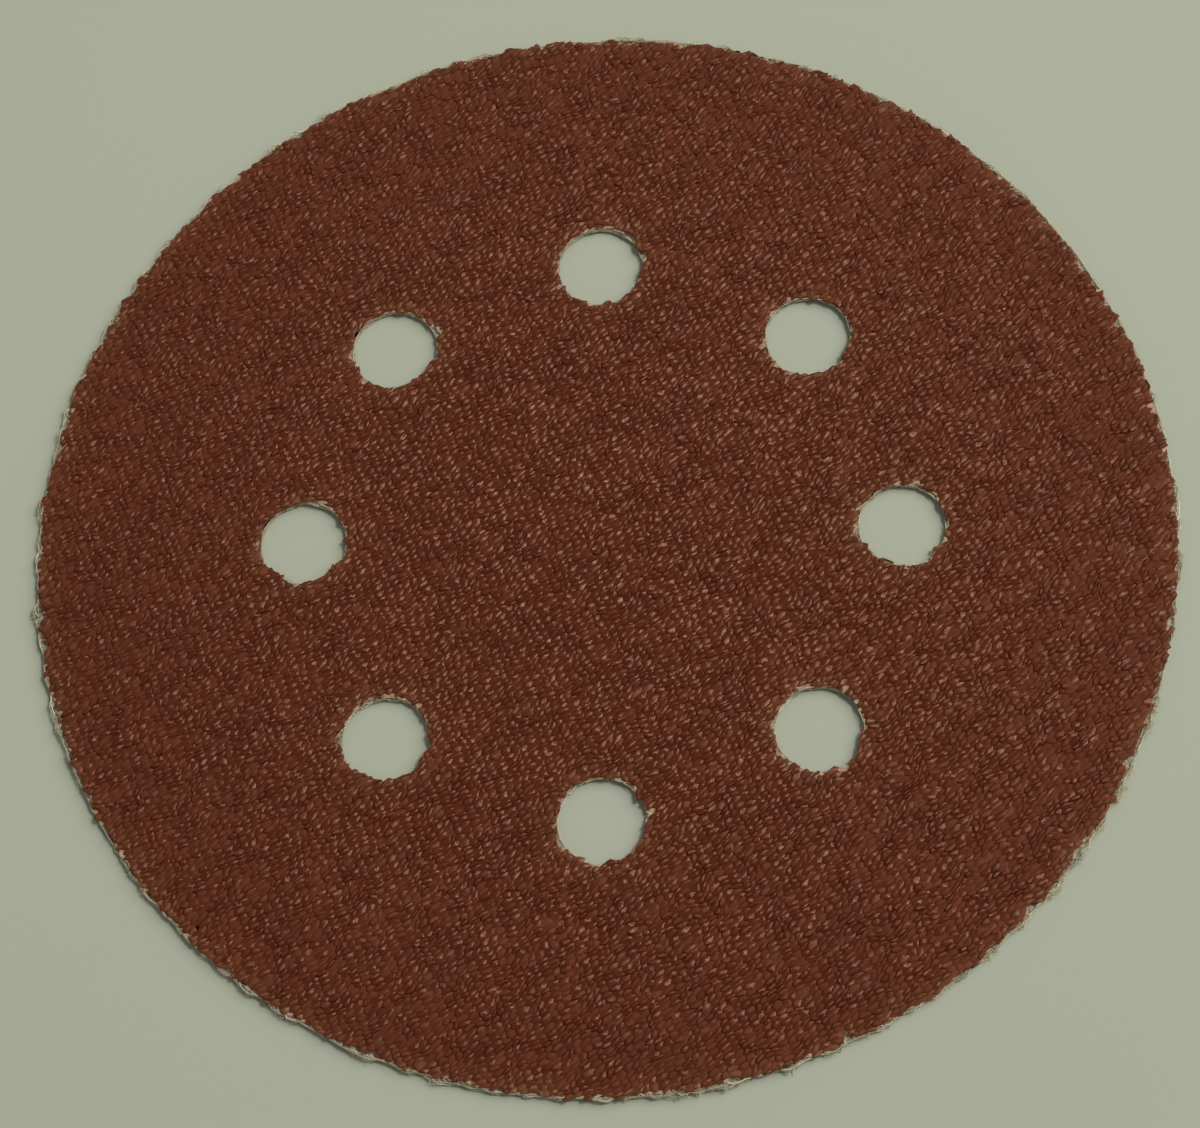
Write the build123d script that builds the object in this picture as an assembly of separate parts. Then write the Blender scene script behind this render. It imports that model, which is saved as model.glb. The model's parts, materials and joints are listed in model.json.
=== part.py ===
from build123d import *
import math
import os
import random

# Sanding disc with a hook and loop backing, lying with its loops down.
# Millimetres. Z = 0 is the face of the loops that rests on the bench or grips the pad,
# the origin is the disc's centre there, and one dust hole is centred on +Y.
# From the bottom up it is a loop fabric, a backing paper and a coat of abrasive grain,
# glued face to face and then cut out together by one die.

# Die-cut outline
DISC_DIAMETER = 125.0
HOLE_COUNT = 8
HOLE_DIAMETER = 9.6
HOLE_CIRCLE_DIAMETER = 65.8
FIRST_HOLE_ANGLE = 90.0

# Thickness of each layer
LOOP_THICKNESS = 0.65
PAPER_THICKNESS = 0.30
COAT_THICKNESS = 0.40

# Crumbled edge of the coat, where the die breaks grain off the paper
BITE_PITCH = 1.20
BITE_DEPTH = 0.46
CHIP_CHANCE = 0.15
CHIP_EXTRA_DEPTH = 0.50
RIM_SEED = 11

# Heights of the faces that the layers share
PAPER_BOTTOM = LOOP_THICKNESS
COAT_BOTTOM = PAPER_BOTTOM + PAPER_THICKNESS

DISC_RADIUS = DISC_DIAMETER / 2
HOLE_RADIUS = HOLE_DIAMETER / 2
HOLE_CIRCLE_RADIUS = HOLE_CIRCLE_DIAMETER / 2


def hole_centres():
    """Centres of the dust holes, evenly spaced on their circle."""
    centres = []
    for index in range(HOLE_COUNT):
        angle = math.radians(FIRST_HOLE_ANGLE + index * 360 / HOLE_COUNT)
        x = HOLE_CIRCLE_RADIUS * math.cos(angle)
        y = HOLE_CIRCLE_RADIUS * math.sin(angle)
        centres.append((x, y))
    return centres


def die_cut_layer(bottom, thickness):
    """A layer with the clean outline of the die: a round blank with round dust holes."""
    blank = Circle(DISC_RADIUS)
    holes = [Pos(x, y) * Circle(HOLE_RADIUS) for x, y in hole_centres()]
    return extrude(Pos(0, 0, bottom) * (blank - holes), thickness)


def bite_depth(rng):
    """How far the coat is broken back at one place on a rim, now and then by a whole chip."""
    depth = BITE_DEPTH * rng.random()
    if rng.random() < CHIP_CHANCE:
        depth += CHIP_EXTRA_DEPTH * rng.random()
    return depth


def crumbled_ring(radius, side, rng):
    """A closed rim of short facets, with a corner at each bite.

    The die cuts at the radius, and each corner is then broken back into the coat:
    inwards (side -1) at the outer rim, outwards (side +1) round a hole.
    """
    bites = round(2 * math.pi * radius / BITE_PITCH)
    points = []
    for bite in range(bites):
        drift = rng.uniform(-0.3, 0.3)
        angle = 2 * math.pi * (bite + drift) / bites
        reach = radius + side * bite_depth(rng)
        points.append((reach * math.cos(angle), reach * math.sin(angle)))
    return make_face(Polyline(points, close=True))


def abrasive_coat():
    """The coat of grain: crumbled back from the die's cut at every rim."""
    rng = random.Random(RIM_SEED)
    blank = crumbled_ring(DISC_RADIUS, -1, rng)
    holes = []
    for x, y in hole_centres():
        holes.append(Pos(x, y) * crumbled_ring(HOLE_RADIUS, 1, rng))
    return extrude(Pos(0, 0, COAT_BOTTOM) * (blank - holes), COAT_THICKNESS)


nodes = {
    "loop_fabric": die_cut_layer(0, LOOP_THICKNESS),
    "paper_backing": die_cut_layer(PAPER_BOTTOM, PAPER_THICKNESS),
    "abrasive_coat": abrasive_coat(),
}

os.makedirs("parts", exist_ok=True)
for name, shape in nodes.items():
    export_step(shape, f"parts/{name}.step")
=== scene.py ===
import json
import math

import bpy
import numpy as np
from mathutils import Matrix, Vector


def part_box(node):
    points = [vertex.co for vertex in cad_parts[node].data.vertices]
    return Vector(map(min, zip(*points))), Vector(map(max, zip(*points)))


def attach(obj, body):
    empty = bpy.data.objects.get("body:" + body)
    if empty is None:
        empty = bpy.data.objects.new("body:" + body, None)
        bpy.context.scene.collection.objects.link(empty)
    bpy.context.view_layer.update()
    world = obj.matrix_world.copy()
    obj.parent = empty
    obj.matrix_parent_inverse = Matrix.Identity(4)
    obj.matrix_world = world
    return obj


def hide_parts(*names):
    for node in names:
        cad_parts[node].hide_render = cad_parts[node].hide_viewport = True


# A sanding disc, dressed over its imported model. The coat becomes faceted grain,
# the paper gets a torn edge at every rim, and the loop fabric becomes a ground cloth
# with its pile below and its cut fibres at the rims. Lengths are in metres, and MM is
# one millimetre.

MM = 0.001
SEED = 7
FULL_TURN = 2 * math.pi

# Divisors are kept above this, so that a length of nothing does no harm
TINY = 1e-20

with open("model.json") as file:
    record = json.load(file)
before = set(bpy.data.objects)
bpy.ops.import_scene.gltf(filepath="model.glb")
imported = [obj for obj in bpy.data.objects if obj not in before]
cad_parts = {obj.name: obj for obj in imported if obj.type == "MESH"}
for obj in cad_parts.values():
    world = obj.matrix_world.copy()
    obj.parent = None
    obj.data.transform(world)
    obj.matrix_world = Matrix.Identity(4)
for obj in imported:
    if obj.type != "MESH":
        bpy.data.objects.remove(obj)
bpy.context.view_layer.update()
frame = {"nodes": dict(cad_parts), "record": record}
nodes = frame["nodes"]


# The disc's sizes, read from the frame

def mount(name):
    """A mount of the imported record."""
    return next(m for m in frame["record"]["mounts"] if m["name"] == name)


loop_low, loop_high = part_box("loop_fabric")
paper_low, paper_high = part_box("paper_backing")
coat_low, coat_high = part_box("abrasive_coat")
DISC_RADIUS = loop_high.x
HOLE_DIMS = mount("dust_holes")["dims"]
HOLE_COUNT = HOLE_DIMS["count"]
HOLE_RADIUS = HOLE_DIMS["hole_r_mm"] * MM
HOLE_CIRCLE_RADIUS = HOLE_DIMS["pcd_mm"] / 2 * MM
HOLE_ANGLES = math.pi / 2 + np.arange(HOLE_COUNT) * FULL_TURN / HOLE_COUNT


def direction(angle):
    """The unit vector, or vectors, in the disc's plane at an angle."""
    return np.stack([np.cos(angle), np.sin(angle)], -1)


def turned(vectors):
    """Vectors in the disc's plane, turned a quarter anticlockwise."""
    return np.stack([-vectors[..., 1], vectors[..., 0]], -1)


def polar(points, centre):
    """Angle and radius of points round a centre."""
    offset = points - centre
    return np.arctan2(offset[:, 1], offset[:, 0]), np.hypot(offset[:, 0], offset[:, 1])


def packed_points(name):
    """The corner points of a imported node."""
    mesh = nodes[name].data
    points = np.empty(len(mesh.vertices) * 3)
    mesh.vertices.foreach_get("co", points)
    return points.reshape(-1, 3)


DISC_CENTRE = np.zeros(2)
HOLE_CENTRES = HOLE_CIRCLE_RADIUS * direction(HOLE_ANGLES)


# Rims of the coat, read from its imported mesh


# Grains past the coat's rim: how far they stand out (from, to), and the distance between
# them, for large ones and for small ones on top of these. Each may be off its place by a
# share of that distance.
LARGE_OVERHANG = (-0.06 * MM, 0.52 * MM, 1.00 * MM)
SMALL_OVERHANG = (-0.22 * MM, 0.22 * MM, 0.34 * MM)
OVERHANG_JITTER = 0.35

# The die tears each hole's coat further back on one side, and leaves the paper there
TEAR_HEADING = math.radians(128)
TEAR_SHIFT = 0.15 * MM
TEAR_BARE = 0.44 * MM


def around_rim(angle, places, values):
    """Values given at places round a rim, joined by smooth steps, at other angles."""
    order = np.argsort(places % FULL_TURN)
    places, values = places[order] % FULL_TURN, values[order]
    angle = angle % FULL_TURN
    after = np.searchsorted(places, angle)
    before = after - 1
    start = places[before] - FULL_TURN * (before < 0)
    after_in = after % len(places)
    end = places[after_in] + FULL_TURN * (after == len(places))
    share = (angle - start) / np.maximum(end - start, TINY)
    share = (1 - np.cos(math.pi * share)) / 2
    return values[before] * (1 - share) + values[after_in] * share


def rim_profile(points, centre, side, rng):
    """Radius of a closed rim as a function of the angle, from its corner points.

    Grains stand out past it a little, outwards (side 1) or into a hole (side -1).
    """
    angle, radius = polar(points, centre)
    around = FULL_TURN * radius.mean()
    layers = [(angle, radius)]
    for low, high, pitch in (LARGE_OVERHANG, SMALL_OVERHANG):
        knots = int(around / pitch)
        drift = rng.uniform(-OVERHANG_JITTER, OVERHANG_JITTER, knots)
        place = (np.arange(knots) + drift) * FULL_TURN / knots
        layers.append((place, side * rng.uniform(low, high, knots)))
    shift = TEAR_SHIFT if side < 0 else 0.0

    def radius_at(angle):
        torn = shift * np.cos(angle - TEAR_HEADING)
        return torn + sum(around_rim(angle, place, value) for place, value in layers)

    return radius_at


def coat_rims():
    """The coat's outer rim, and its rim round each dust hole, as functions of the angle."""
    rng = np.random.default_rng(SEED + 4)
    points = packed_points("abrasive_coat")[:, :2]
    middle = (DISC_RADIUS + HOLE_CIRCLE_RADIUS) / 2
    from_centre = np.hypot(*points.T)
    outer = rim_profile(points[from_centre > middle], DISC_CENTRE, 1, rng)
    inner = []
    for centre in HOLE_CENTRES:
        near = np.hypot(*(points - centre).T) < 2 * HOLE_RADIUS
        inner.append(rim_profile(points[near], centre, -1, rng))
    return outer, inner


OUTER_RIM, HOLE_RIMS = coat_rims()

# Every rim: its centre, the die's radius, the side that it faces (outwards 1, into a
# hole -1), and the coat's own rim there
RIMS = [(DISC_CENTRE, DISC_RADIUS, 1, OUTER_RIM)]
RIMS += [(centre, HOLE_RADIUS, -1, rim) for centre, rim in zip(HOLE_CENTRES, HOLE_RIMS)]


def trimmed(points, margin):
    """The points, with those outside the coat drawn in to a margin inside its rims."""
    angle, radius = polar(points, DISC_CENTRE)
    allowed = np.minimum(radius, OUTER_RIM(angle) - margin)
    moved = points * (allowed / np.maximum(radius, TINY))[:, None]
    for centre, rim in zip(HOLE_CENTRES, HOLE_RIMS):
        angle, radius = polar(moved, centre)
        allowed = np.maximum(radius, rim(angle) + margin)
        moved = centre + (moved - centre) * (allowed / np.maximum(radius, TINY))[:, None]
    return moved


def inset(points):
    """How far each point lies inside the coat's rims: positive on the coat."""
    angle, radius = polar(points, DISC_CENTRE)
    depth = OUTER_RIM(angle) - radius
    for centre, rim in zip(HOLE_CENTRES, HOLE_RIMS):
        angle, radius = polar(points, centre)
        depth = np.minimum(depth, radius - rim(angle))
    return depth


# Meshes from arrays

# The texture map takes in this much more than the disc's width
MAP_MARGIN = 1.04


def with_height(flat, z):
    """Points in the disc's plane, joined with their heights."""
    return np.concatenate([flat, z[..., None]], -1)


def unit(vectors):
    """The vectors, each at length 1."""
    return vectors / np.maximum(np.linalg.norm(vectors, axis=-1, keepdims=True), TINY)


def rounded_normals(points, faces, roundness):
    """A normal for each corner of each triangle: its own, drawn towards its points' normals.

    The roundness, 0 to 1 for each point, is how far it is drawn.
    """
    first, second, third = (points[faces[:, k]] for k in range(3))
    facing = np.cross(second - first, third - first)
    mean = np.zeros_like(points)
    for k in range(3):
        np.add.at(mean, faces[:, k], facing)
    own = unit(facing)[:, None]
    share = roundness[faces][..., None]
    return unit(own * (1 - share) + unit(mean)[faces] * share)


def add_mesh(name, points, faces, material, attributes=None, normals=None):
    """A mesh object from arrays of points and triangles, with values per face.

    It is faceted, or rounded where it is given a normal for each corner.
    """
    used, index = np.unique(faces, return_inverse=True)
    faces = index.reshape(faces.shape)
    points = points[used]
    mesh = bpy.data.meshes.new(name)
    mesh.vertices.add(len(points))
    mesh.vertices.foreach_set("co", points.astype(np.float32).ravel())
    mesh.loops.add(faces.size)
    mesh.loops.foreach_set("vertex_index", faces.astype(np.int32).ravel())
    mesh.polygons.add(len(faces))
    starts = np.arange(len(faces), dtype=np.int32) * faces.shape[1]
    mesh.polygons.foreach_set("loop_start", starts)
    mesh.update(calc_edges=True)
    if normals is None:
        mesh.shade_flat()
    else:
        mesh.normals_split_custom_set(normals.reshape(-1, 3))
    seen_from_above = mesh.uv_layers.new(name="OFBake")
    across = points[:, :2] / (2 * DISC_RADIUS * MAP_MARGIN) + 0.5
    seen_from_above.data.foreach_set("uv", across[faces.ravel()].astype(np.float32).ravel())
    for key, values in (attributes or {}).items():
        layer = mesh.attributes.new(key, "FLOAT", "FACE")
        layer.data.foreach_set("value", values.astype(np.float32))
    mesh.materials.append(material)
    obj = bpy.data.objects.new(name, mesh)
    bpy.context.scene.collection.objects.link(obj)
    return obj


# Materials

def rgb(red, green, blue):
    """A colour given as 0 to 255 in sRGB, as the linear values a shader takes."""
    values = np.array([red, green, blue]) / 255
    linear = np.where(values <= 0.04045, values / 12.92, ((values + 0.055) / 1.055) ** 2.4)
    return (*linear.tolist(), 1.0)


# Where the disc lies in each noise
NOISE_SHIFT = (0.313, 0.271, 0.137)

# How far light spreads under the surface of what glows, in all and for each colour
GLOW_REACH = 0.15 * MM
GLOW_COLOURS = (1.0, 1.0, 0.8)

# The factor and the two colours among the sockets of a Mix node for colours
MIX_SOCKETS = (0, 6, 7)
MIX_RESULT = 2


class Shader:
    """A node material, built up node by node round one Principled shader."""

    def __init__(self, name, roughness=0.5, specular=0.5, tint=(1, 1, 1, 1), glow=0.0):
        self.material = bpy.data.materials.new(name)
        self.material.use_nodes = True
        self.tree = self.material.node_tree
        self.surface = self.tree.nodes["Principled BSDF"]
        self.surface.inputs["Roughness"].default_value = roughness
        self.surface.inputs["Specular IOR Level"].default_value = specular
        self.surface.inputs["Specular Tint"].default_value = tint
        self.surface.inputs["Subsurface Weight"].default_value = glow
        self.surface.inputs["Subsurface Radius"].default_value = GLOW_COLOURS
        self.surface.inputs["Subsurface Scale"].default_value = GLOW_REACH

    def node(self, kind, **settings):
        """A new node of a kind, with its settings."""
        made = self.tree.nodes.new(kind)
        for key, value in settings.items():
            setattr(made, key, value)
        return made

    def link(self, output, target):
        """Feed a node's output to an input."""
        self.tree.links.new(output, target)

    def paint(self, colour):
        """Give the surface its colour."""
        self.link(colour, self.surface.inputs["Base Color"])

    def place(self):
        """Where the point lies, in the disc's own frame."""
        return self.node("ShaderNodeTexCoord").outputs["Object"]

    def attribute(self, name):
        """A value that the mesh holds for each face."""
        return self.node("ShaderNodeAttribute", attribute_name=name).outputs["Fac"]

    def noise(self, size, detail=2.0):
        """Noise with features of about this size, in metres."""
        shifted = self.node("ShaderNodeVectorMath", operation="ADD")
        shifted.inputs[1].default_value = NOISE_SHIFT
        self.link(self.place(), shifted.inputs[0])
        made = self.node("ShaderNodeTexNoise")
        made.inputs["Scale"].default_value = 1 / size
        made.inputs["Detail"].default_value = detail
        self.link(shifted.outputs[0], made.inputs["Vector"])
        return made.outputs["Fac"]

    def ramp(self, value, stops):
        """Colours along a value, as (position, colour) stops."""
        made = self.node("ShaderNodeValToRGB")
        elements = made.color_ramp.elements
        while len(elements) < len(stops):
            elements.new(0.5)
        for element, (position, colour) in zip(elements, stops):
            element.position = position
            element.color = colour
        self.link(value, made.inputs["Fac"])
        return made.outputs["Color"]

    def mix(self, factor, first, second, blend="MIX"):
        """Two colours blended by a factor. Each of the three is an output or a constant."""
        made = self.node("ShaderNodeMix", data_type="RGBA", blend_type=blend)
        for socket, value in zip(MIX_SOCKETS, (factor, first, second)):
            if hasattr(value, "is_output"):
                self.link(value, made.inputs[socket])
            else:
                made.inputs[socket].default_value = value
        return made.outputs[MIX_RESULT]

    def add(self, first, second):
        """The sum of two values."""
        made = self.node("ShaderNodeMath", operation="ADD")
        self.link(first, made.inputs[0])
        self.link(second, made.inputs[1])
        return made.outputs[0]

    def spread(self, value, low, high, start=0.0, end=1.0):
        """A value that runs from start to end, spread over low to high and held there."""
        made = self.node("ShaderNodeMapRange")
        made.inputs["From Min"].default_value = start
        made.inputs["From Max"].default_value = end
        made.inputs["To Min"].default_value = low
        made.inputs["To Max"].default_value = high
        self.link(value, made.inputs["Value"])
        return made.outputs["Result"]

    def level(self, low, high):
        """0 below one height and 1 above another."""
        split = self.node("ShaderNodeSeparateXYZ")
        self.link(self.place(), split.inputs[0])
        return self.spread(split.outputs["Z"], 0.0, 1.0, start=low, end=high)

    def outwards(self, gain):
        """0 in the middle of the disc, rising evenly to the gain at its rim."""
        length = self.node("ShaderNodeVectorMath", operation="LENGTH")
        self.link(self.place(), length.inputs[0])
        return self.spread(length.outputs["Value"], 0.0, gain, end=DISC_RADIUS)

    def bump(self, height, depth):
        """Unevenness of a depth, in metres, where the height runs from 0 to 1."""
        made = self.node("ShaderNodeBump")
        made.inputs["Distance"].default_value = depth
        self.link(height, made.inputs["Height"])
        self.link(made.outputs["Normal"], self.surface.inputs["Normal"])


# The shine of the grain varies over short distances, between these roughnesses
GRAIN_SHINE_SIZE = 0.25 * MM
GRAIN_ROUGHNESS = (0.14, 0.36)
GRAIN_SHINE_TINT = (1.0, 0.59, 0.42, 1)
GRAIN_BUMP_SIZE = 0.12 * MM
GRAIN_BUMP_DEPTH = 0.02 * MM
GRAIN_PATCH_SIZE = 6 * MM

# All grains shine in the middle of the disc. Towards its rim more and more of them are
# matt, those of the lighter tones first, and the rest shine a little less.
MATT_SHARE = 0.72
MATT_FADE = 0.25
MATT_ROUGHNESS = 0.45
RIM_DULLNESS = 0.08


def grain_material():
    """Red-brown resin over the grain: each grain has its own tone, and is paler where worn."""
    shader = Shader("resin_coated_grain", specular=0.45, tint=GRAIN_SHINE_TINT)
    tones = shader.ramp(shader.attribute("tone"), [
        (0.0, rgb(84, 35, 16)),
        (0.45, rgb(92, 41, 21)),
        (0.8, rgb(98, 45, 25)),
        (1.0, rgb(110, 56, 35)),
    ])
    patches = shader.ramp(shader.noise(GRAIN_PATCH_SIZE, detail=3.0), [
        (0.35, rgb(236, 236, 236)),
        (0.65, rgb(251, 251, 251)),
    ])
    colour = shader.mix(1.0, tones, patches, "MULTIPLY")
    shader.paint(shader.mix(shader.attribute("worn"), colour, rgb(127, 82, 55)))
    matt = shader.add(shader.attribute("tone"), shader.outwards(MATT_SHARE))
    matt = shader.spread(matt, 0.0, MATT_ROUGHNESS, start=1.0, end=1.0 + MATT_FADE)
    rough = shader.spread(shader.noise(GRAIN_SHINE_SIZE), *GRAIN_ROUGHNESS)
    rough = shader.add(rough, shader.outwards(RIM_DULLNESS))
    shader.link(shader.add(rough, matt), shader.surface.inputs["Roughness"])
    shader.bump(shader.noise(GRAIN_BUMP_SIZE), GRAIN_BUMP_DEPTH)
    return shader.material


# Sizes of the noises in the paper's look, and the skin below its top that resin stains
PAPER_FIBRE_SIZE = 0.5 * MM
PAPER_STAIN_SIZE = 0.3 * MM
PAPER_TEAR_SIZE = 1.5 * MM
PAPER_BUMP_SIZE = 0.1 * MM
PAPER_BUMP_DEPTH = 0.02 * MM
PAPER_SKIN = (paper_high.z - 0.06 * MM, paper_high.z - 0.01 * MM)


def paper_material():
    """Backing paper: brown with resin on top, torn pale in spots, and tan at its edge."""
    shader = Shader("resin_stained_paper", roughness=0.8, specular=0.3)
    pale = shader.ramp(shader.noise(PAPER_FIBRE_SIZE, detail=4.0), [
        (0.3, rgb(130, 98, 70)),
        (0.55, rgb(174, 148, 118)),
        (0.75, rgb(202, 184, 154)),
    ])
    stained = shader.ramp(shader.noise(PAPER_STAIN_SIZE, detail=3.0), [
        (0.35, rgb(70, 36, 22)),
        (0.7, rgb(108, 66, 44)),
    ])
    torn = shader.ramp(shader.noise(PAPER_TEAR_SIZE), [
        (0.42, (0, 0, 0, 1)),
        (0.50, (1, 1, 1, 1)),
    ])
    top = shader.mix(torn, stained, pale)
    shader.paint(shader.mix(shader.level(*PAPER_SKIN), pale, top))
    shader.bump(shader.noise(PAPER_BUMP_SIZE, detail=3.0), PAPER_BUMP_DEPTH)
    return shader.material


# The knit's rows of stitches, and the yarn's unevenness over them
KNIT_SIZE = 3.0 * MM
KNIT_WAVER = 3.0
KNIT_WAVER_SCALE = 2.0
YARN_SIZE = 0.3 * MM
YARN_DEPTH = 0.04 * MM


def cloth_material():
    """The knitted ground of the loop fabric, greyer than its pile, in fine rows."""
    shader = Shader("knitted_ground", roughness=0.85, specular=0.2)
    rows = shader.node("ShaderNodeTexWave", wave_type="BANDS", bands_direction="X")
    rows.inputs["Scale"].default_value = 1 / KNIT_SIZE
    rows.inputs["Distortion"].default_value = KNIT_WAVER
    rows.inputs["Detail Scale"].default_value = KNIT_WAVER_SCALE
    shader.link(shader.place(), rows.inputs["Vector"])
    weave = shader.mix(0.5, rows.outputs["Fac"], shader.noise(YARN_SIZE, detail=4.0))
    shader.paint(shader.ramp(weave, [
        (0.25, rgb(132, 126, 108)),
        (0.55, rgb(158, 152, 133)),
        (0.85, rgb(178, 172, 153)),
    ]))
    shader.bump(weave, YARN_DEPTH)
    return shader.material


FIBRE_STREAK_SIZE = 0.2 * MM


def fibre_material():
    """Pale nylon filaments, each a little lighter or darker than the next."""
    shader = Shader("nylon_filaments", roughness=0.55, specular=0.4, glow=0.6)
    tones = shader.ramp(shader.attribute("tone"), [
        (0.0, rgb(160, 146, 114)),
        (0.5, rgb(198, 186, 156)),
        (1.0, rgb(228, 218, 192)),
    ])
    streaks = shader.ramp(shader.noise(FIBRE_STREAK_SIZE), [
        (0.3, rgb(236, 236, 236)),
        (0.7, rgb(255, 255, 255)),
    ])
    shader.paint(shader.mix(1.0, tones, streaks, "MULTIPLY"))
    return shader.material


# Painted light: the surface under the disc grows paler this way, over this reach each
# side of the disc's centre, with broad and faint patches
PAINTED_LIGHT_SLOPE = (-0.87, 0.50, 0.0)
PAINTED_LIGHT_REACH = 80 * MM
FLOOR_PATCH_SIZE = 50 * MM
FLOOR_PATCH_SHARE = 0.12


def floor_material():
    """A pale, faintly green surface, with painted light that makes it paler one way."""
    shader = Shader("pale_surface", roughness=0.6, specular=0.2)
    along = shader.node("ShaderNodeVectorMath", operation="DOT_PRODUCT")
    along.inputs[1].default_value = PAINTED_LIGHT_SLOPE
    shader.link(shader.place(), along.inputs[0])
    # Painted light: the floor's colour grows paler along this way
    painted_light = shader.spread(along.outputs["Value"], 0.0, 1.0, start=-PAINTED_LIGHT_REACH, end=PAINTED_LIGHT_REACH)
    value = shader.mix(FLOOR_PATCH_SHARE, painted_light, shader.noise(FLOOR_PATCH_SIZE))
    shader.paint(shader.ramp(value, [
        (0.0, rgb(169, 173, 153)),
        (1.0, rgb(178, 182, 161)),
    ]))
    return shader.material


# Grain, as a jittered triangular lattice of flat-topped crystals with worn shoulders

# Distance between grains, how far each may be off its place as a share of that, and how
# much the coating draws them out, and which way
GRAIN_PITCH = 0.82 * MM
GRAIN_JITTER = 0.42
GRAIN_STRETCH = 1.42
GRAIN_LEAN = math.radians(38)

# Slow waves that shift the lattice
WARP_WAVES = 24
WARP_PITCH = (2.2 * MM, 7.0 * MM)
WARP_STRAIN = 0.26

# Heights of the resin between the grains, of the crests, and of the shoulders below them
RESIN_LEVEL = coat_low.z + 0.13 * MM
RESIN_SPREAD = 0.020 * MM
CREST_LEVEL = coat_high.z - 0.05 * MM
CREST_SPREAD = 0.035 * MM
CREST_SINK = 0.10 * MM
CREST_LIMIT = coat_high.z + 0.05 * MM
CREST_TILT = 0.08
POINT_SPREAD = 0.008 * MM
SHOULDER_DROP = (0.030 * MM, 0.080 * MM)

# How far the crest and the shoulder reach, as shares of the grain's cell
CREST_REACH = (0.34, 0.62)
CREST_UNEVENNESS = (0.65, 1.35)
SHOULDER_REACH = (0.66, 0.92)
SHOULDER_WIDTH = 0.16

# How round the facets look, from 0 for faceted to 1 for smooth
CREST_ROUNDNESS = 0.35
SHOULDER_ROUNDNESS = 0.9

# Grains at a rim: how far past it a centre may lie before its grain is left out, how far
# inside it the others' centres are drawn, and how far in they have an underside
RIM_OVERLAP = 0.12 * MM
RIM_MARGIN = 0.10 * MM
UNDERSIDE_REACH = 0.9 * MM

# Wear falls off from a rim over this reach, from a share that differs between grains
WORN_REACH = 0.75 * MM
WORN_SHARE = (0.15, 0.70)

# Shape of the beta distribution of the tones, with a few more dark than light
TONE_SHAPE = (2.2, 3.2)

GRAIN_SECTORS = 4

# Which corners of a grain's six-sided cell lead to the same corner of its crest
CREST_SHAPES = np.array([
    [0, 0, 1, 1, 2, 2],
    [0, 0, 1, 2, 2, 3],
    [0, 1, 2, 3, 3, 4],
])
CREST_SHARES = [0.4, 0.4, 0.2]  # of the grains, for each shape
CREST_CORNERS = CREST_SHAPES.max(1) + 1
MOST_CORNERS = CREST_CORNERS.max()
CELL_SIDES = 6

# Steps (row, column) from a lattice point to the six round it, anticlockwise
NEIGHBOURS = [(0, 1), (1, 0), (1, -1), (0, -1), (-1, 0), (-1, 1)]


def lattice_centres(rng):
    """Grain centres in rows and columns of a skewed grid, drawn out along the coating's lean."""
    reach = DISC_RADIUS * GRAIN_STRETCH + 2 * GRAIN_PITCH
    row_step = GRAIN_PITCH * math.sqrt(3) / 2
    rows = int(2 * reach / row_step) + 1
    columns = int(2 * reach / GRAIN_PITCH) + rows // 2 + 1
    row, column = np.mgrid[0:rows, 0:columns]
    x = (column + row / 2 - rows / 2) * GRAIN_PITCH - reach
    y = row * row_step - reach
    centres = np.stack([x, y], -1)
    centres = centres + rng.uniform(-1, 1, centres.shape) * GRAIN_JITTER * GRAIN_PITCH
    along = direction(GRAIN_LEAN)
    across = turned(along)
    length = centres @ along * GRAIN_STRETCH
    width = centres @ across / GRAIN_STRETCH
    return warped(length[..., None] * along + width[..., None] * across, rng)


def warped(points, rng):
    """The points, shifted by slow waves, so that grains crowd and turn from place to place."""
    shift = np.zeros_like(points)
    for _ in range(WARP_WAVES):
        heading, towards, phase = rng.uniform(0, FULL_TURN, 3)
        number = FULL_TURN / rng.uniform(*WARP_PITCH)
        size = WARP_STRAIN / number * math.sqrt(2 / WARP_WAVES)
        wave = size * np.sin(points @ direction(heading) * number + phase)
        shift += wave[..., None] * direction(towards)
    return points + shift


def valley_points(centres):
    """The points midway between three grains, two for each square of the lattice."""
    up = (centres[:-1, :-1] + centres[:-1, 1:] + centres[1:, :-1]) / 3
    down = (centres[:-1, 1:] + centres[1:, :-1] + centres[1:, 1:]) / 3
    return trimmed(np.stack([up, down], 2).reshape(-1, 2), 0.0)


def cell_corners(row, column, columns):
    """The numbers of the six valley points round each grain, anticlockwise."""

    def corner(row_step, column_step, which):
        square = (row + row_step) * (columns - 1) + column + column_step
        return square * 2 + which

    return np.stack([
        corner(0, 0, 0), corner(0, -1, 1), corner(0, -1, 0),
        corner(-1, -1, 1), corner(-1, 0, 0), corner(-1, 0, 1),
    ], 1)


def crest_directions(spokes, slots):
    """From each grain's centre, the mean way out to each corner of its crest.

    The spokes lead to its cell's corners, and the slots say which crest corner each meets.
    """
    own = np.arange(len(spokes))
    outward = np.zeros((len(spokes), MOST_CORNERS, 2))
    count = np.zeros((len(spokes), MOST_CORNERS, 1))
    for k in range(CELL_SIDES):
        outward[own, slots[:, k]] += spokes[:, k]
        count[own, slots[:, k]] += 1
    return outward / np.maximum(count, 1)


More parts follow.
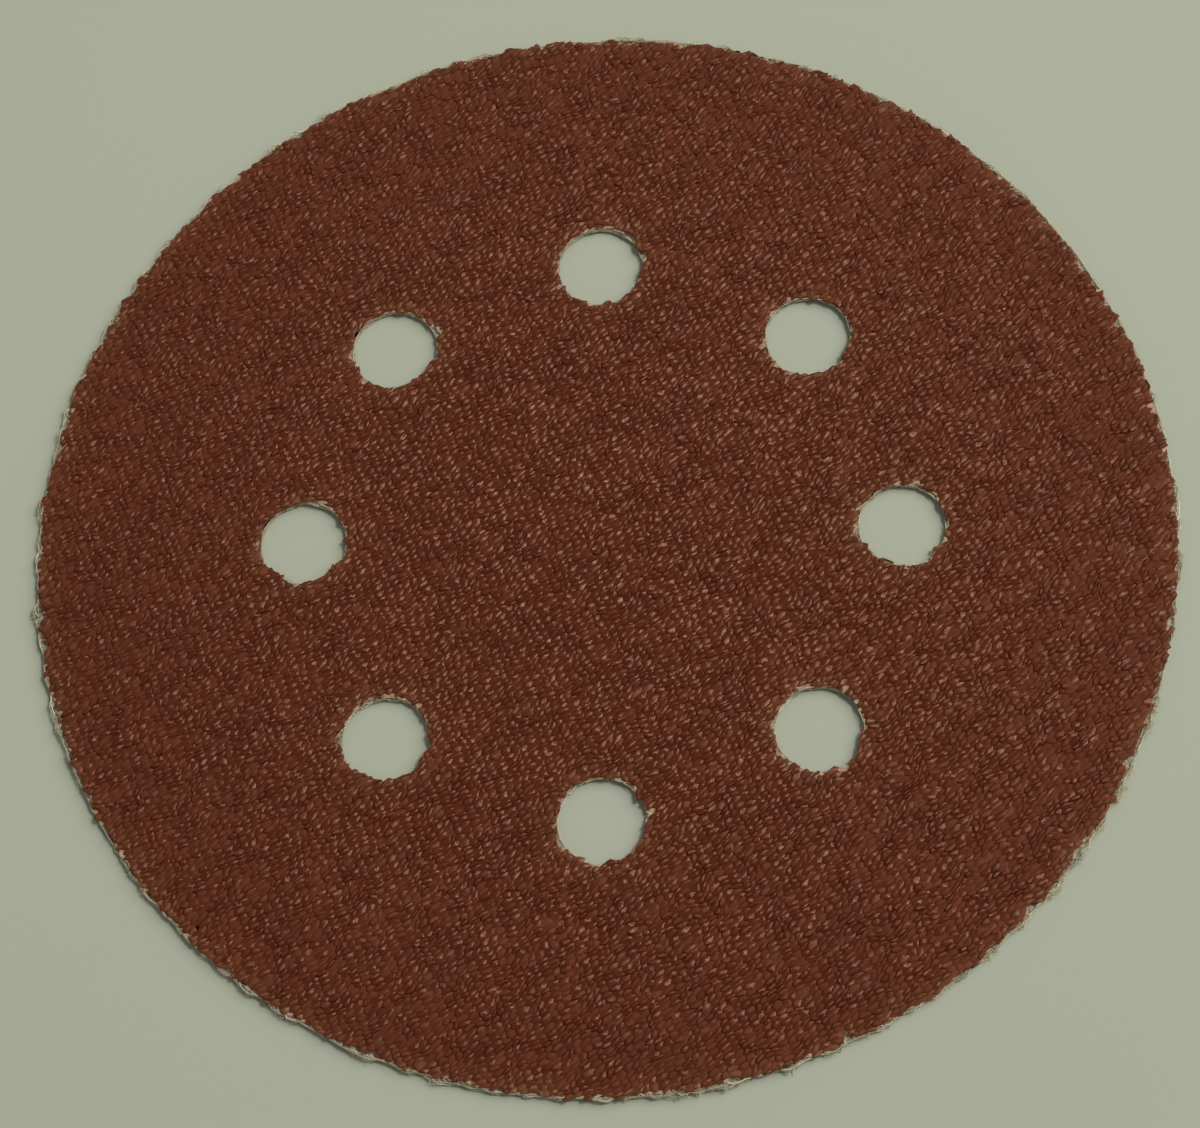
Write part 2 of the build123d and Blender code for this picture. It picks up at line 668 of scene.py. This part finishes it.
def crests_and_shoulders(outward, rng):
    """A flat crest, tilted a little, and the shoulder round it, from each grain's centre."""
    grains, size = len(outward), outward.shape[:2]
    tilt = rng.normal(0, CREST_TILT, (grains, 1, 2))
    height = CREST_LEVEL + rng.normal(0, CREST_SPREAD, (grains, 1))
    height = height - CREST_SINK * rng.uniform(0, 1, (grains, 1)) ** 2
    shoulder_reach = rng.uniform(*SHOULDER_REACH, (*size, 1))
    crest_reach = rng.uniform(*CREST_REACH, (grains, 1, 1))
    crest_reach = crest_reach * rng.uniform(*CREST_UNEVENNESS, (*size, 1))
    crest_reach = np.minimum(crest_reach, shoulder_reach - SHOULDER_WIDTH)
    crest, shoulder = outward * crest_reach, outward * shoulder_reach
    crest_z = height + (crest * tilt).sum(-1) + rng.normal(0, POINT_SPREAD, size)
    drop = rng.uniform(*SHOULDER_DROP, size)
    shoulder_z = height - drop + (shoulder * tilt).sum(-1)
    crest_z = np.minimum(crest_z, CREST_LIMIT)
    return with_height(crest, crest_z), with_height(shoulder, shoulder_z)


def grain_faces(ring, slots, corners, crest, shoulder, foot, bare, at_rim):
    """Triangles over every grain, and the number of the grain that each belongs to.

    For each grain, the ring, crest and shoulder hold the numbers of their points, and the
    slots say which crest corner each point of the ring meets. Adding foot to a valley
    point's number gives the point under it. Bare marks each grain's sides without a
    neighbour, and at_rim the grains near a rim.
    """
    own = np.arange(len(ring))
    faces, owner = [], []

    def add(triangle, chosen):
        faces.append(np.stack(triangle, 1)[chosen])
        owner.append(own[chosen])

    everywhere = np.ones(len(ring), bool)
    for k in range(CELL_SIDES):
        after = (k + 1) % CELL_SIDES
        here, there = ring[:, k], ring[:, after]
        shoulder_here = shoulder[own, slots[:, k]]
        shoulder_there = shoulder[own, slots[:, after]]
        crest_here = crest[own, slots[:, k]]
        crest_there = crest[own, slots[:, after]]
        apart = slots[:, k] != slots[:, after]
        add((here, there, shoulder_there), everywhere)
        add((here, shoulder_there, shoulder_here), apart)
        add((shoulder_here, shoulder_there, crest_there), apart)
        add((shoulder_here, crest_there, crest_here), apart)
        # A grain at a rim has no neighbour there, and a wall down to the paper
        add((here, foot + here, there), bare[:, after])
        add((there, foot + here, foot + there), bare[:, after])
    # The underside of the grains at a rim, which may stand out past the paper
    for k in range(1, CELL_SIDES - 1):
        add((foot + ring[:, 0], foot + ring[:, k + 1], foot + ring[:, k]), at_rim)
    for last in range(2, MOST_CORNERS):
        add((crest[:, 0], crest[:, last - 1], crest[:, last]), corners > last)
    return np.concatenate(faces), np.concatenate(owner)


def grain_mesh():
    """Points, triangles, each point's roundness, and each triangle's tone, wear and angle."""
    rng = np.random.default_rng(SEED)
    centres = lattice_centres(rng)
    rows, columns = centres.shape[:2]
    valley = valley_points(centres)
    valley_z = RESIN_LEVEL + rng.normal(0, RESIN_SPREAD, len(valley))

    # The grains that lie on the coat
    on_coat = inset(centres.reshape(-1, 2)).reshape(rows, columns) > -RIM_OVERLAP
    on_coat[[0, -1], :] = False
    on_coat[:, [0, -1]] = False
    row, column = np.nonzero(on_coat)
    centre = trimmed(centres[row, column], RIM_MARGIN)
    depth = inset(centre)
    ring = cell_corners(row, column, columns)
    bare = np.stack([~on_coat[row + up, column + along] for up, along in NEIGHBOURS], 1)

    # One of the crest shapes for each, turned at random
    grains = len(centre)
    kind = rng.choice(len(CREST_SHAPES), grains, p=CREST_SHARES)
    turn = rng.integers(0, CELL_SIDES, grains)
    places = (np.arange(CELL_SIDES) + turn[:, None]) % CELL_SIDES
    slots = np.take_along_axis(CREST_SHAPES[kind], places, 1)
    outward = crest_directions(valley[ring] - centre[:, None], slots)
    crest, shoulder = crests_and_shoulders(outward, rng)

    middle = with_height(centre, np.zeros(grains))[:, None]
    points = np.concatenate([
        with_height(valley, valley_z),
        (middle + crest).reshape(-1, 3),
        (middle + shoulder).reshape(-1, 3),
        with_height(valley, np.full(len(valley), coat_low.z)),
    ])
    crest_id = len(valley) + np.arange(grains * MOST_CORNERS).reshape(grains, MOST_CORNERS)
    shoulder_id = crest_id + crest_id.size
    foot = len(valley) + 2 * crest_id.size
    faces, owner = grain_faces(
        ring, slots, CREST_CORNERS[kind], crest_id, shoulder_id, foot,
        bare, depth < UNDERSIDE_REACH)

    tone = rng.beta(*TONE_SHAPE, grains)
    worn = np.exp(-depth / WORN_REACH) * rng.uniform(*WORN_SHARE, grains)
    angle = polar(centre, DISC_CENTRE)[0] % FULL_TURN
    roundness = np.zeros(len(points))
    roundness[crest_id] = CREST_ROUNDNESS
    roundness[shoulder_id] = SHOULDER_ROUNDNESS
    return points, faces, roundness, tone[owner], worn[owner], angle[owner]


def build_coat():
    """The grain, in sectors that share their edges, in place of the coat's solid."""
    material = grain_material()
    points, faces, roundness, tone, worn, angle = grain_mesh()
    sector = (angle / FULL_TURN * GRAIN_SECTORS).astype(int)
    normals = rounded_normals(points, faces, roundness)
    for index in range(GRAIN_SECTORS):
        mine = sector == index
        values = {"tone": tone[mine], "worn": worn[mine]}
        name = f"grain_coat_{index + 1}"
        piece = add_mesh(name, points, faces[mine], material, values, normals[mine])
        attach(piece, "root")
        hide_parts("abrasive_coat")


# Cloth, pile and fibres

# Sides of a rim fibre, and its width at its end as a share of that at its start
FIBRE_SIDES = 3
FIBRE_TAPER = 0.45

CLOTH_BOTTOM = loop_low.z + 0.33 * MM

# The pile under the cloth, with more places tried than loops kept, as some miss the cloth
PILE_PIECES = 2
PILE_LOOPS = 14000
PILE_SPARE = 1.25
PILE_STEPS = 5
PILE_ROOT = loop_low.z + 0.38 * MM
PILE_WIDTH = (0.08 * MM, 0.17 * MM)
PILE_SPAN = (0.7 * MM, 1.8 * MM)
PILE_TWIST = 0.5

# How far each loop bends and wavers sideways, as shares of its span, and how full its
# arch is (1 for a plain sine, less for a fuller one)
PILE_BEND = 0.35
PILE_WAVER = 0.15
PILE_FULLNESS = 0.6

# How near to the bench its low point lies: over the clearance, within the heights, by a
# beta distribution with more of them low than high
PILE_CLEARANCE = 0.01 * MM
PILE_HEIGHTS = 0.25 * MM
PILE_HEIGHT_SHAPE = (1.2, 2.0)

# How far a loop may stand out past the cloth's rims
PILE_OVERHANG = 0.10 * MM

# Rim fibres gather into tufts: slow waves round a mean fullness, within limits
TUFT_WAVES = 24
TUFT_PITCH = (1.2 * MM, 6.0 * MM)
TUFT_MEAN = 0.75
TUFT_SWING = 0.16
TUFT_LIMITS = (0.12, 2.2)

# How far fibres and strands stand out of a rim where the tufts' fullness is 1
OUTER_STANDOUT = 0.42 * MM
HOLE_STANDOUT = 0.16 * MM

# The fibres that stand out of a rim, for each millimetre of it
OUTER_FIBRES = 14.0
HOLE_FIBRES = 6.0
RIM_STEPS = 4
RIM_RADIUS = (0.024 * MM, 0.048 * MM)

# Their reach as a share of the standout, their length along the rim and its share in a
# hole, and how unevenly they run
RIM_REACH = (0.4, 1.4)
RIM_SPAN = 0.9 * MM
HOLE_SPAN_SHARE = 0.7
RIM_WOBBLE = 0.25

# This share of them are loops. The rest are hairs, which reach out less and less towards
# the tip, by this share, and slant along the rim by that share of their length.
LOOP_SHARE = 0.6
HAIR_SLACK = 0.25
HAIR_SLANT = 0.8

# How deep inside the rim they start, at which heights, how much they rise (mean and
# spread), and the heights that they stay between
RIM_ROOT = 0.08 * MM
RIM_HEIGHT = (0.12 * MM, 0.62 * MM)
RIM_RISE = (0.24 * MM, 0.26 * MM)
RIM_BOTTOM = loop_low.z + 0.03 * MM
RIM_TOP = coat_low.z + 0.28 * MM

# The strands of the knit that run loose along a rim, for each millimetre of it
OUTER_STRANDS = 3.0
HOLE_STRANDS = 1.2
STRAND_STEPS = 8
STRAND_LENGTH = (1.4 * MM, 4.0 * MM)
HOLE_LENGTH_SHARE = 0.6
STRAND_RADIUS = (0.035 * MM, 0.080 * MM)

# Their reach as a share of the standout, how unevenly they run, how quickly they swing
# out from their ends, and their heights, which follow the tufts
STRAND_REACH = (0.15, 0.85)
STRAND_WOBBLE = 0.12
STRAND_FULLNESS = 0.4
STRAND_HEIGHT = (0.25 * MM, 0.95 * MM)
STRAND_LIFT = 0.14 * MM
STRAND_UNEVENNESS = 0.06 * MM


def band_faces(corners, owner):
    """Two triangles for each four-cornered face, with the number of each one's path."""
    faces = np.concatenate([corners[:, [0, 1, 2]], corners[:, [0, 2, 3]]])
    return faces, np.concatenate([owner, owner])


def ribbons(paths, widths, rng):
    """Flat bands along paths: points, triangles and the number of each triangle's path."""
    count, steps = paths.shape[:2]
    side = unit(turned(np.gradient(paths, axis=1)[..., :2]))
    twist = rng.uniform(-PILE_TWIST, PILE_TWIST, (count, steps)) * widths[:, None]
    offset = with_height(side * widths[:, None, None] / 2, twist)
    points = np.stack([paths - offset, paths + offset], 2).reshape(-1, 3)
    first = np.arange(count)[:, None] * steps * 2 + np.arange(steps - 1) * 2
    quads = np.stack([first, first + 1, first + 3, first + 2], -1).reshape(-1, 4)
    return points, *band_faces(quads, np.repeat(np.arange(count), steps - 1))


def tubes(paths, radii, rng):
    """Thin round fibres along paths: points, triangles and each triangle's path."""
    count, steps = paths.shape[:2]
    ahead = unit(np.gradient(paths, axis=1))
    first = unit(np.cross(ahead, rng.normal(0, 1, (count, 1, 3))))
    second = np.cross(ahead, first)
    angle = np.arange(FIBRE_SIDES) * FULL_TURN / FIBRE_SIDES
    ring = first[:, :, None] * np.cos(angle)[:, None] + second[:, :, None] * np.sin(angle)[:, None]
    taper = np.linspace(1.0, FIBRE_TAPER, steps)[:, None, None]
    points = (paths[:, :, None] + ring * radii[:, None, None, None] * taper).reshape(-1, 3)
    start = (np.arange(count)[:, None] * steps + np.arange(steps - 1)) * FIBRE_SIDES
    here = start[..., None] + np.arange(FIBRE_SIDES)
    there = start[..., None] + (np.arange(FIBRE_SIDES) + 1) % FIBRE_SIDES
    quads = np.stack([here, there, there + FIBRE_SIDES, here + FIBRE_SIDES], -1).reshape(-1, 4)
    return points, *band_faces(quads, np.repeat(np.arange(count), (steps - 1) * FIBRE_SIDES))


def add_fibres(name, fibres, material, rng):
    """A piece of the cloth's fibres, none below the bench, each with its own tone."""
    points, faces, owner = fibres
    points[:, 2] = np.maximum(points[:, 2], loop_low.z)
    tone = rng.uniform(0, 1, owner.max() + 1)[owner]
    piece = add_mesh(name, points, faces, material, {"tone": tone})
    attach(piece, "root")


def fabric_depth(points):
    """How far each point lies inside the die-cut outline of the fabric."""
    depth = DISC_RADIUS - np.hypot(points[..., 0], points[..., 1])
    for centre in HOLE_CENTRES:
        gap = np.hypot(points[..., 0] - centre[0], points[..., 1] - centre[1]) - HOLE_RADIUS
        depth = np.minimum(depth, gap)
    return depth


def build_cloth(material):
    """The ground of the loop fabric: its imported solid, with the pile's depth taken off."""
    mesh = nodes["loop_fabric"].data.copy()
    mesh.name = "loop_ground"
    points = packed_points("loop_fabric")
    points[:, 2] = np.maximum(points[:, 2], CLOTH_BOTTOM)
    mesh.vertices.foreach_set("co", points.astype(np.float32).ravel())
    mesh.materials.clear()
    mesh.materials.append(material)
    mesh.update()
    piece = bpy.data.objects.new("loop_ground", mesh)
    bpy.context.scene.collection.objects.link(piece)
    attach(piece, "root")
    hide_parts("loop_fabric")


def build_pile(material):
    """Loops of filament under the cloth, combed every way, down to the bench."""
    rng = np.random.default_rng(SEED + 1)
    tries = int(PILE_LOOPS * PILE_SPARE)
    way = np.linspace(0, 1, PILE_STEPS + 1)
    arch = np.sin(math.pi * way)
    for index in range(PILE_PIECES):
        radius = DISC_RADIUS * np.sqrt(rng.uniform(0, 1, tries))
        angle = (rng.uniform(0, 1, tries) + index) * FULL_TURN / PILE_PIECES
        middle = radius[:, None] * direction(angle)
        ahead = direction(rng.uniform(0, FULL_TURN, tries))
        span = rng.uniform(*PILE_SPAN, (tries, 1))
        bend = rng.uniform(-PILE_BEND, PILE_BEND, (tries, 1)) * arch
        waver = rng.uniform(-PILE_WAVER, PILE_WAVER, (tries, 1)) * np.sin(FULL_TURN * way)
        flat = middle[:, None] + ahead[:, None] * (span * (way - 0.5))[..., None]
        flat = flat + turned(ahead)[:, None] * (span * (bend + waver))[..., None]
        height = rng.beta(*PILE_HEIGHT_SHAPE, (tries, 1)) * PILE_HEIGHTS
        low = loop_low.z + PILE_CLEARANCE + height
        z = PILE_ROOT - (PILE_ROOT - low) * arch ** PILE_FULLNESS
        inside = fabric_depth(flat).min(1) > -PILE_OVERHANG
        paths = with_height(flat, z)[inside][:PILE_LOOPS]
        loops = ribbons(paths, rng.uniform(*PILE_WIDTH, len(paths)), rng)
        add_fibres(f"loop_pile_{index + 1}", loops, material, rng)


def rim_places(rng, outer_rate, hole_rate):
    """Random places along every rim: the point, the way out of the material, the kind."""
    places, outward, outer = [], [], []
    for centre, radius, side, _ in RIMS:
        rate = outer_rate if side > 0 else hole_rate
        count = int(FULL_TURN * radius / MM * rate)
        out = direction(rng.uniform(0, FULL_TURN, count))
        places.append(centre + radius * out)
        outward.append(out * side)
        outer.append(np.full(count, side > 0))
    return np.concatenate(places), np.concatenate(outward), np.concatenate(outer)


def tufts(places):
    """A slowly changing fullness, within the tufts' limits, that gathers rim fibres."""
    rng = np.random.default_rng(SEED + 6)
    value = np.zeros(places.shape[:-1])
    for _ in range(TUFT_WAVES):
        heading = rng.uniform(0, FULL_TURN)
        pitch = rng.uniform(*TUFT_PITCH)
        phase = rng.uniform(0, FULL_TURN)
        value += np.sin(places @ direction(heading) / pitch * FULL_TURN + phase)
    return np.clip(TUFT_MEAN + value * TUFT_SWING, *TUFT_LIMITS)


def build_rim_fibres(material):
    """Cut loops and hairs of the fabric that stand out past each rim."""
    rng = np.random.default_rng(SEED + 2)
    places, outward, outer = rim_places(rng, OUTER_FIBRES, HOLE_FIBRES)
    count = len(places)
    reach = np.where(outer, OUTER_STANDOUT, HOLE_STANDOUT) * tufts(places)
    reach = reach * rng.uniform(*RIM_REACH, count)
    span = rng.uniform(-RIM_SPAN, RIM_SPAN, count) * np.where(outer, 1.0, HOLE_SPAN_SHARE)
    is_loop = rng.uniform(0, 1, (count, 1)) < LOOP_SHARE
    way = np.linspace(0, 1, RIM_STEPS + 1)
    out = np.where(is_loop, np.sin(math.pi * way), way * (1 - HAIR_SLACK * way)) * reach[:, None]
    out = out * (1 + rng.uniform(-RIM_WOBBLE, RIM_WOBBLE, (count, len(way)))) - RIM_ROOT
    slide = span[:, None] * np.where(is_loop, way - 0.5, way ** 2 * HAIR_SLANT)
    flat = places[:, None] + outward[:, None] * out[..., None]
    flat = flat + turned(outward)[:, None] * slide[..., None]
    root = loop_low.z + rng.uniform(*RIM_HEIGHT, (count, 1))
    rise = rng.normal(*RIM_RISE, (count, 1)) * way
    paths = with_height(flat, np.clip(root + rise, RIM_BOTTOM, RIM_TOP))
    fibres = tubes(paths, rng.uniform(*RIM_RADIUS, count), rng)
    add_fibres("rim_fibres", fibres, material, rng)


def build_rim_strands(material):
    """Wavy strands of the knit, pulled loose along each rim by the cut."""
    rng = np.random.default_rng(SEED + 5)
    places, outward, outer = rim_places(rng, OUTER_STRANDS, HOLE_STRANDS)
    count = len(places)
    standout = np.where(outer, OUTER_STANDOUT, HOLE_STANDOUT)
    length = rng.uniform(*STRAND_LENGTH, count) * np.where(outer, 1.0, HOLE_LENGTH_SHARE)
    way = np.linspace(0, 1, STRAND_STEPS + 1)
    slide = length[:, None] * (way - 0.5)
    radius = np.where(outer, DISC_RADIUS, -HOLE_RADIUS)
    sag = slide ** 2 / (2 * radius[:, None])
    on_rim = places[:, None] + turned(outward)[:, None] * slide[..., None]
    on_rim = on_rim - outward[:, None] * sag[..., None]
    fullness = tufts(on_rim)
    share = rng.uniform(*STRAND_REACH, (count, 1))
    share = share + rng.uniform(-STRAND_WOBBLE, STRAND_WOBBLE, (count, len(way)))
    out = standout[:, None] * fullness * share * np.sin(math.pi * way) ** STRAND_FULLNESS
    flat = on_rim + outward[:, None] * out[..., None]
    z = loop_low.z + rng.uniform(*STRAND_HEIGHT, (count, 1)) + STRAND_LIFT * fullness
    z = z + rng.uniform(-STRAND_UNEVENNESS, STRAND_UNEVENNESS, (count, len(way)))
    strands = tubes(with_height(flat, z), rng.uniform(*STRAND_RADIUS, count), rng)
    add_fibres("rim_strands", strands, material, rng)


# Paper, with a torn edge at every rim

# The width of the torn strip, its points' pitch along the rim, how far the paper stands
# out past the coat in a bite, and how unevenly it does where the die left it bare
PAPER_STRIP = 0.80 * MM
TEAR_PITCH = 0.16 * MM
PAPER_LIP = (0.0, 0.20 * MM)
TEAR_UNEVENNESS = (0.5, 1.0)

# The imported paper's points this near to the die's cut are on its rim
NEAR_RIM = 0.1 * MM


def torn_strip(centre, radius, side, rim, rng):
    """The strip of paper along one rim, with its torn edge: points and triangles."""
    count = int(FULL_TURN * radius / TEAR_PITCH)
    angle = np.arange(count) * FULL_TURN / count
    lip = rng.uniform(*PAPER_LIP, count)
    if side < 0:
        bare = TEAR_BARE * np.maximum(np.cos(angle - TEAR_HEADING), 0)
        lip += bare * rng.uniform(*TEAR_UNEVENNESS, count)
    edge = side * np.minimum(side * radius, side * rim(angle) + lip)
    back = np.full(count, radius - side * PAPER_STRIP)
    top, bottom = paper_high.z, paper_low.z
    rows = []
    for reach, z in ((back, top), (edge, top), (edge, bottom), (back, bottom)):
        rows.append(with_height(centre + direction(angle) * reach[:, None], np.full(count, z)))
    here = np.arange(count)[::side]
    after = np.roll(here, -1)
    faces = []
    for row in range(len(rows) - 1):
        first, second = row * count, (row + 1) * count
        faces.append(np.stack([first + here, second + here, second + after], 1))
        faces.append(np.stack([first + here, second + after, first + after], 1))
    return np.concatenate(rows), np.concatenate(faces)


def packed_triangles(name):
    """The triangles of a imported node."""
    mesh = nodes[name].data
    mesh.calc_loop_triangles()
    faces = np.empty(len(mesh.loop_triangles) * 3, np.int32)
    mesh.loop_triangles.foreach_get("vertices", faces)
    return faces.reshape(-1, 3)


def build_paper(material):
    """The paper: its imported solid, drawn in a little, and a torn strip along every rim."""
    rng = np.random.default_rng(SEED + 3)
    sheet = packed_points("paper_backing")
    points, faces = [sheet], [packed_triangles("paper_backing")]
    for centre, radius, side, rim in RIMS:
        offset = sheet[:, :2] - centre
        at_rim = np.abs(np.hypot(*offset.T) - radius) < NEAR_RIM
        sheet[at_rim, :2] = centre + offset[at_rim] * (1 - side * PAPER_STRIP / radius)
        strip, strip_faces = torn_strip(centre, radius, side, rim, rng)
        faces.append(strip_faces + sum(map(len, points)))
        points.append(strip)
    piece = add_mesh("torn_paper", np.concatenate(points), np.concatenate(faces), material)
    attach(piece, "root")
    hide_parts("paper_backing")


# Stage, light and camera

# The camera's place is measured from the disc's centre, at the height of the rim it sees
SEEN_RIM_LEVEL = coat_high.z - 0.20 * MM
CAMERA_PLACE = Vector((22.954, -134.949, 321.013)) * MM + Vector((0, 0, SEEN_RIM_LEVEL))
CAMERA_FORWARD = Vector((-0.06637, 0.37777, -0.92352))
CAMERA_UP = Vector((0.02902, 0.92590, 0.37666))
CAMERA_LENS = 95.51
SENSOR_WIDTH = 36.0
NEAREST_SEEN = 10 * MM

# Lamps: azimuth and height in degrees, distance and size in metres, and share of the
# floor's light. The room gives the rest of it.
WINDOW = (20, 48, 1.00, 0.80, 0.40)
LAMP = (5, 64, 1.50, 0.27, 0.34)
ROOM_SHARE = 1 - WINDOW[-1] - LAMP[-1]
ROOM_COLOUR = (0.98, 1.0, 0.97, 1)
FLOOR_HALF = 1.5


def build_stage():
    """The surface that the disc lies on."""
    corners = FLOOR_HALF * np.array([(-1, -1, 0), (1, -1, 0), (1, 1, 0), (-1, 1, 0)])
    floor = add_mesh("floor", corners, np.array([[0, 1, 2, 3]]), floor_material())


def add_light(name, azimuth, height, distance, size, share):
    """A square lamp that faces the disc's centre and gives a share of the floor's light."""
    azimuth, height = math.radians(azimuth), math.radians(height)
    data = bpy.data.lights.new(name, "AREA")
    data.shape = "SQUARE"
    data.size = size
    # A room of strength 1 gives the floor as much light as a lamp of this energy at share 1
    data.energy = share * (math.pi * distance) ** 2 / math.sin(height)
    lamp = bpy.data.objects.new(name, data)
    towards = Vector((
        math.cos(height) * math.cos(azimuth),
        math.cos(height) * math.sin(azimuth),
        math.sin(height),
    ))
    lamp.location = towards * distance
    lamp.rotation_euler = towards.to_track_quat("Z", "Y").to_euler()
    bpy.context.scene.collection.objects.link(lamp)


def build_lights():
    """A broad window from the upper right, a lamp high above, and a dim even room."""
    add_light("window", *WINDOW)
    add_light("lamp", *LAMP)
    world = bpy.data.worlds.new("room")
    bpy.context.scene.world = world
    world.use_nodes = True
    background = world.node_tree.nodes["Background"]
    background.inputs["Color"].default_value = ROOM_COLOUR
    background.inputs["Strength"].default_value = ROOM_SHARE


def build_camera():
    """The photograph's viewpoint, found from the rim and the dust holes."""
    data = bpy.data.cameras.new("camera")
    data.lens = CAMERA_LENS
    data.sensor_fit = "HORIZONTAL"
    data.sensor_width = SENSOR_WIDTH
    data.clip_start = NEAREST_SEEN
    camera = bpy.data.objects.new("camera", data)
    forward = CAMERA_FORWARD.normalized()
    right = forward.cross(CAMERA_UP).normalized()
    up = right.cross(forward)
    turn = Matrix((right, up, -forward)).transposed().to_4x4()
    camera.matrix_world = Matrix.Translation(CAMERA_PLACE) @ turn
    bpy.context.scene.collection.objects.link(camera)
    bpy.context.scene.camera = camera


build_coat()
build_paper(paper_material())
build_cloth(cloth_material())
fibre = fibre_material()
build_pile(fibre)
build_rim_fibres(fibre)
build_rim_strands(fibre)
build_stage()
build_lights()
build_camera()
bpy.context.scene.view_settings.view_transform = "Standard"
